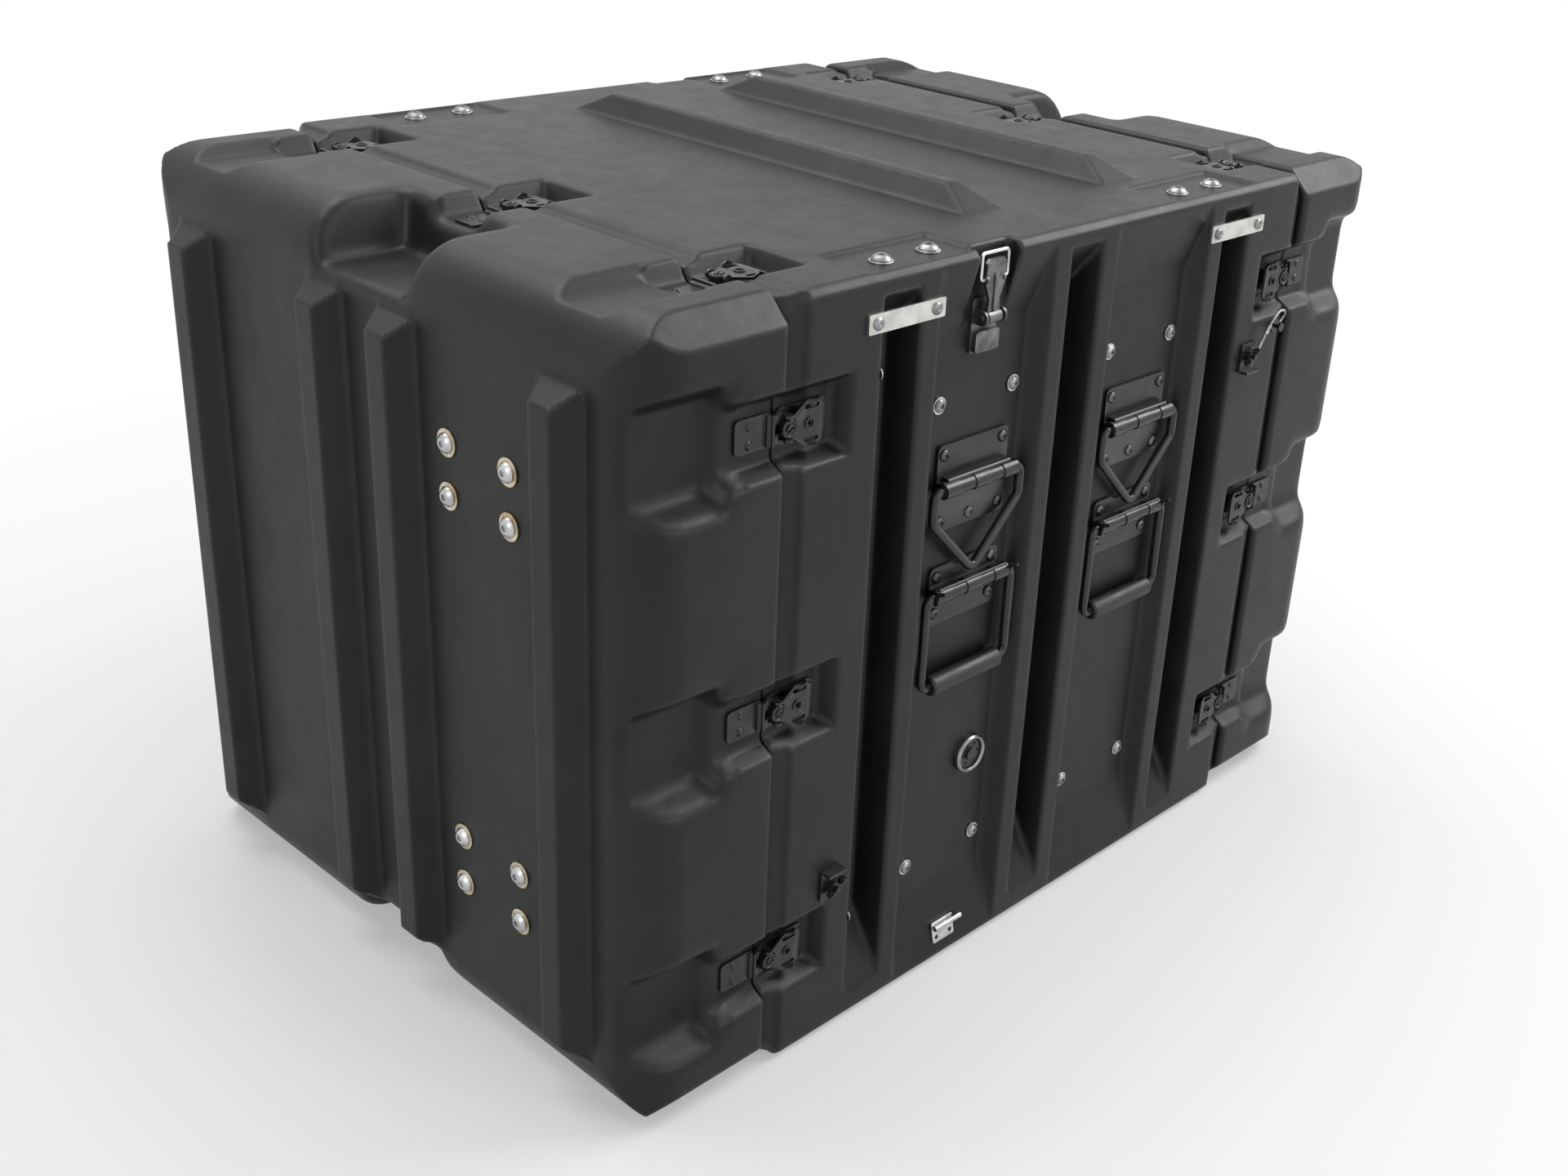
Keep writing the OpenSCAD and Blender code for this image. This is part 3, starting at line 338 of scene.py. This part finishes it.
black_steel = powder_coat("black powder coated steel", "#0f0f10", "#5a5a5c", 0.28)
frame_steel = powder_coat("semi-gloss black frame paint", "#1b1c1e", "#55565a", 0.3)
bolt_zinc = metal("zinc plated steel", "#a9abac", "#cfd0d0", 0.28, 0.7)
yellow_zinc = metal("yellow passivated zinc", "#b9a98a", "#d8d0bd", 0.32, 0.7, tint="#a78a52")
screw_steel = metal("black oxide steel", "#3a3a3b", "#6b6b6c", 0.34, 0.7)
bolt_steel = metal("dull zinc plate", "#77787a", "#a3a4a5", 0.33, 0.7, tint="#5c5d5e")
brushed = metal("brushed aluminium", "#bdbcb8", "#d9d8d4", 0.36, 0.5, (0.03, 1, 1), 0.03)
dull_steel = metal("dull pressed steel", "#5c5e60", "#808284", 0.42, 0.8, tint="#44464a")
bright_steel = metal("bright pressed steel", "#b4b5b5", "#dcdcdb", 0.25, 0.6)
nickel = metal("dull nickel plate", "#707172", "#9d9e9f", 0.3, 1.0, depth_mm=0.01)
wire_rope = metal("stainless wire rope", "#8b8b8a", "#b5b5b2", 0.3, 0.4)
grip_rubber = rubber("moulded grip rubber", "#0f0f10", "#232324", 0.5, 1.0)
mount_rubber = rubber("natural rubber mount", "#131313", "#262524", 0.6, 1.2)
sponge = rubber("sponge gasket rubber", "#101011", "#1c1c1d", 0.85, 0.8)
valve_plastic = rubber("glass filled nylon", "#121213", "#1f1f20", 0.35, 1.5)
for piece in (wire_rope_piece, crimp):
    piece.data.materials.append(wire_rope)
print(len(bpy.data.materials), "materials")

# %% [markdown]
# ## Soft shells
# A rotomoulding has no sharp edge: melted powder leaves a radius of several millimetres on
# each corner and sags into the pockets. The CAD shell is copied and merged, remeshed to even
# quads, and relaxed; the pockets are relaxed much more than the rest. Decimation then takes
# the flat panels back to few faces.

# %% Shell helpers


def select_only(obj):
    bpy.ops.object.select_all(action="DESELECT")
    obj.select_set(True)
    bpy.context.view_layer.objects.active = obj


def copy_of(node, name):
    """A merged copy of a CAD node, free to be changed."""
    select_only(nodes[node])
    bpy.ops.object.duplicate()
    piece = bpy.context.view_layer.objects.active
    piece.name = name
    piece.data.name = name
    bpy.ops.mesh.customdata_custom_splitnormals_clear()
    bpy.ops.object.mode_set(mode="EDIT")
    bpy.ops.mesh.select_all(action="SELECT")
    bpy.ops.mesh.remove_doubles(threshold=0.01 * MM)
    bpy.ops.object.mode_set(mode="OBJECT")
    return piece


def apply_modifier(piece, kind, **settings):
    """Adds a modifier and applies it at once."""
    select_only(piece)
    modifier = piece.modifiers.new(kind.lower(), kind)
    for key, value in settings.items():
        setattr(modifier, key, value)
    bpy.ops.object.modifier_apply(modifier=modifier.name)


def relax(piece, inside, repeat):
    """Smooths the vertices for which inside(co) is true."""
    select_only(piece)
    bpy.ops.object.mode_set(mode="EDIT")
    bpy.ops.mesh.select_all(action="DESELECT")
    bpy.ops.object.mode_set(mode="OBJECT")
    flags = [inside(v.co) for v in piece.data.vertices]
    piece.data.vertices.foreach_set("select", flags)
    bpy.ops.object.mode_set(mode="EDIT")
    bpy.ops.mesh.select_mode(type="VERT")
    bpy.ops.mesh.vertices_smooth(factor=0.5, repeat=repeat)
    bpy.ops.object.mode_set(mode="OBJECT")
    return sum(flags)


def paint(piece, material):
    piece.data.materials.clear()
    piece.data.materials.append(material)


def smooth_shading(piece, angle):
    select_only(piece)
    bpy.ops.object.shade_smooth_by_angle(angle=radians(angle))


print("shell helpers ready")

# %% Covers and sleeve
low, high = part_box("sleeve")
half_w = -low[1]
top_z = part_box("left_cover")[1][2]
mid_z = top_z / 2
seam_x = high[0]
end_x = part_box("right_cover_washers")[0][0]


def in_cover_pocket(co):
    """True in the deep pockets and the wide side pockets of either cover."""
    if abs(co.x) < end_x - 0.095:
        return False
    deep = abs(co.y) < 0.085 and abs(co.z - mid_z) > mid_z - 0.055
    side = abs(co.y) > half_w - 0.034 and min(abs(co.z - mid_z - k * 0.228) for k in (-1, 0, 1)) < 0.058
    return deep or side


def soft_shell(node, body, voxel_mm, triangles, pockets):
    piece = copy_of(node, "soft_" + node)
    apply_modifier(piece, "REMESH", mode="VOXEL", voxel_size=voxel_mm * MM, use_smooth_shade=True)
    relaxed = relax(piece, in_cover_pocket, 40) if pockets else 0
    apply_modifier(piece, "SMOOTH", factor=0.5, iterations=2)
    count = sum(len(p.vertices) - 2 for p in piece.data.polygons)
    apply_modifier(piece, "DECIMATE", ratio=min(1, triangles / count))
    paint(piece, polyethylene)
    smooth_shading(piece, 60)
    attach(piece, body)
    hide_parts(node)
    print(node, count, "triangles before", len(piece.data.polygons), "after,", relaxed, "relaxed")
    return piece


for end in ("left", "right"):
    soft_shell(end + "_cover", end + "_cover_set", 2.1, 180000, True)
soft_shell("sleeve", "case", 2.3, 195000, False)

# %% [markdown]
# ## Pressed and turned hardware
# Real pressings have a small radius on each edge, which is what catches the light. Each CAD
# node keeps its mesh and gets live modifiers: weld, planar dissolve, a small bevel, and
# normals weighted by face area so that the flats stay flat.

# %% Hardware finishes


def ease_edges(node, material, bevel_mm):
    obj = nodes[node]
    paint(obj, material)
    obj.modifiers.new("weld", "WELD").merge_threshold = 0.01 * MM
    flat = obj.modifiers.new("flat", "DECIMATE")
    flat.decimate_type = "DISSOLVE"
    flat.angle_limit = radians(0.5)
    bevel = obj.modifiers.new("bevel", "BEVEL")
    bevel.width = bevel_mm * MM
    bevel.segments = 2
    bevel.angle_limit = radians(32)
    bevel.use_clamp_overlap = True
    obj.modifiers.new("normals", "WEIGHTED_NORMAL").weight = 100


finishes = {
    "latch": (black_steel, 0.25), "wing": (black_steel, 0.25), "hidden": (black_steel, 0.25),
    "keepers": (black_steel, 0.3), "ring_plates": (black_steel, 0.4),
    "handle_plates": (black_steel, 0.4), "ring_near": (black_steel, 0.02),
    "ring_far": (black_steel, 0.02), "handle_near": (black_steel, 0.02),
    "handle_far": (black_steel, 0.02), "grip": (grip_rubber, 0.6),
    "side_brackets": (black_steel, 0.25), "panel_screws": (bolt_steel, 0.15),
    "cover_bolts": (bolt_zinc, 0.25), "mount_bolts": (bolt_steel, 0.25),
    "cover_washers": (yellow_zinc, 0.25), "mount_washers": (bolt_zinc, 0.25),
    "mount_strips": (brushed, 0.3), "toggle_bases": (dull_steel, 0.3),
    "toggle_lever": (dull_steel, 0.3), "toggle_wire": (bright_steel, 0.02),
    "stacking_catches": (bright_steel, 0.3), "valve_ring": (nickel, 0.3),
    "valve_body": (valve_plastic, 0.3), "gasket": (sponge, 0.8),
    "shock_rubbers": (mount_rubber, 0.6), "shock_plates": (bright_steel, 0.4),
    "rack_frame": (frame_steel, 0.8), "rack_rails": (bolt_zinc, 0.2),
}
for node in nodes:
    if node in ("sleeve", "left_cover", "right_cover", "lanyard", "plate_screws"):
        continue
    key = max((k for k in finishes if k in node), key=len)
    ease_edges(node, *finishes[key])
print("hardware finished")

# %% [markdown]
# ## Plate screws
# The hinge plates are held by pan heads with a cross recess. One head is made from a filled
# circle that is extruded up and scaled in to a dome; a cross of two bars is then cut out of it.
# Each place in the model gets a copy, turned at random as screws stop where they bite.

# %% One pan head
HEAD_R, HEAD_H = 5.0, 2.6
bpy.ops.object.select_all(action="DESELECT")
bpy.ops.mesh.primitive_circle_add(vertices=28, radius=HEAD_R * MM, fill_type="NGON")
head = bpy.context.object
head.name = head.data.name = "pan_head"
bpy.ops.object.mode_set(mode="EDIT")
for rise, scale in ((0.9, 1.0), (0.8, 0.9), (0.6, 0.78), (0.3, 0.6)):
    bpy.ops.mesh.extrude_region_move(TRANSFORM_OT_translate={"value": (0, 0, rise * MM)})
    bpy.ops.transform.resize(value=(scale, scale, 1))
bpy.ops.mesh.select_all(action="SELECT")
bpy.ops.mesh.normals_make_consistent(inside=False)
bpy.ops.object.mode_set(mode="OBJECT")
bpy.ops.object.select_all(action="DESELECT")
bpy.ops.mesh.primitive_cube_add(size=1)
cross = bpy.context.object
bpy.ops.object.mode_set(mode="EDIT")
bpy.ops.transform.resize(value=(4.2 * MM, 1.0 * MM, 3 * MM))
bpy.ops.mesh.duplicate_move()
bpy.ops.transform.rotate(value=pi / 2, orient_axis="Z", center_override=(0, 0, 0))
bpy.ops.mesh.select_all(action="SELECT")
bpy.ops.transform.translate(value=(0, 0, (HEAD_H + 0.2) * MM))
bpy.ops.object.mode_set(mode="OBJECT")
apply_modifier(head, "BOOLEAN", object=cross, operation="DIFFERENCE", use_self=True)
bpy.data.objects.remove(cross)
print(len(head.data.polygons), "faces in one head")

# %% A head at each place
places = copy_of("plate_screws", "screw_places")
bpy.ops.object.mode_set(mode="EDIT")
bpy.ops.mesh.separate(type="LOOSE")
bpy.ops.object.mode_set(mode="OBJECT")
chance = random.Random(4)
heads = []
for solid in list(bpy.context.selected_objects):
    corners = [v.co for v in solid.data.vertices]
    low_y, high_y = min(c.y for c in corners), max(c.y for c in corners)
    middle_x = (min(c.x for c in corners) + max(c.x for c in corners)) / 2
    middle_z = (min(c.z for c in corners) + max(c.z for c in corners)) / 2
    facing = -1 if low_y < 0 else 1
    foot = Vector((middle_x, high_y if facing < 0 else low_y, middle_z))
    mesh = head.data.copy()
    mesh.transform(Matrix.Translation(foot) @ Matrix.Rotation(-facing * pi / 2, 4, "X")
                   @ Matrix.Rotation(chance.uniform(0, pi), 4, "Z"))
    copy = bpy.data.objects.new("plate_screw", mesh)
    bpy.context.scene.collection.objects.link(copy)
    heads.append(copy)
    bpy.data.objects.remove(solid)
bpy.data.objects.remove(head)
bpy.ops.object.select_all(action="DESELECT")
for copy in heads:
    copy.select_set(True)
bpy.context.view_layer.objects.active = heads[0]
bpy.ops.object.join()
screws = heads[0]
screws.name = screws.data.name = "plate_screw_heads"
paint(screws, screw_steel)
smooth_shading(screws, 30)
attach(screws, "case")
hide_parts("plate_screws")
print(len(screws.data.polygons), "faces in the screws")

# %% [markdown]
# ## Floor
# A plain pale sweep. To the camera and in reflections it fades to pure white away from the
# case; near it the floor keeps the case's shadow.

# %% Floor and world
bpy.ops.mesh.primitive_plane_add(size=30, location=(0, 0, -0.0005))
floor = bpy.context.object
floor.name = "floor"
material = bpy.data.materials.new("pale floor")
material.use_nodes = True
tree = material.node_tree
shader = tree.nodes["Principled BSDF"]
shader.inputs["Roughness"].default_value = 0.9
shader.inputs["Base Color"].default_value = linear("#e4e4e4")


def seen_directly(tree):
    """1 for rays from the camera and for reflected and refracted ones, else 0."""
    path = add(tree, "LightPath").outputs
    some = add(tree, "Math", {0: path["Is Camera Ray"], 1: path["Is Glossy Ray"]}, operation="MAXIMUM")
    return add(tree, "Math", {0: some.outputs[0], 1: path["Is Transmission Ray"]},
               operation="MAXIMUM").outputs[0]


here = add(tree, "TexCoord").outputs["Object"]
distance = add(tree, "VectorMath", {0: here}, operation="LENGTH").outputs["Value"]
far = remap(tree, distance, 0.55, 1.5, 0.35, 1)
glow = add(tree, "Emission", {"Color": linear("#ffffff"), "Strength": 1.0}).outputs[0]
amount = add(tree, "Math", {0: seen_directly(tree), 1: far}, operation="MULTIPLY").outputs[0]
mixed = add(tree, "MixShader", {0: amount, 1: shader.outputs[0], 2: glow}).outputs[0]
tree.links.new(mixed, tree.nodes["Material Output"].inputs["Surface"])
floor.data.materials.append(material)

world = bpy.data.worlds.new("studio")
bpy.context.scene.world = world
world.use_nodes = True
tree = world.node_tree
background = tree.nodes["Background"]
tree.links.new(blend_colours(tree, seen_directly(tree), "#8a8a8c", "#ffffff"),
               background.inputs["Color"])
background.inputs["Strength"].default_value = 1.0
bpy.context.scene.view_settings.view_transform = "Standard"
print("floor and world")
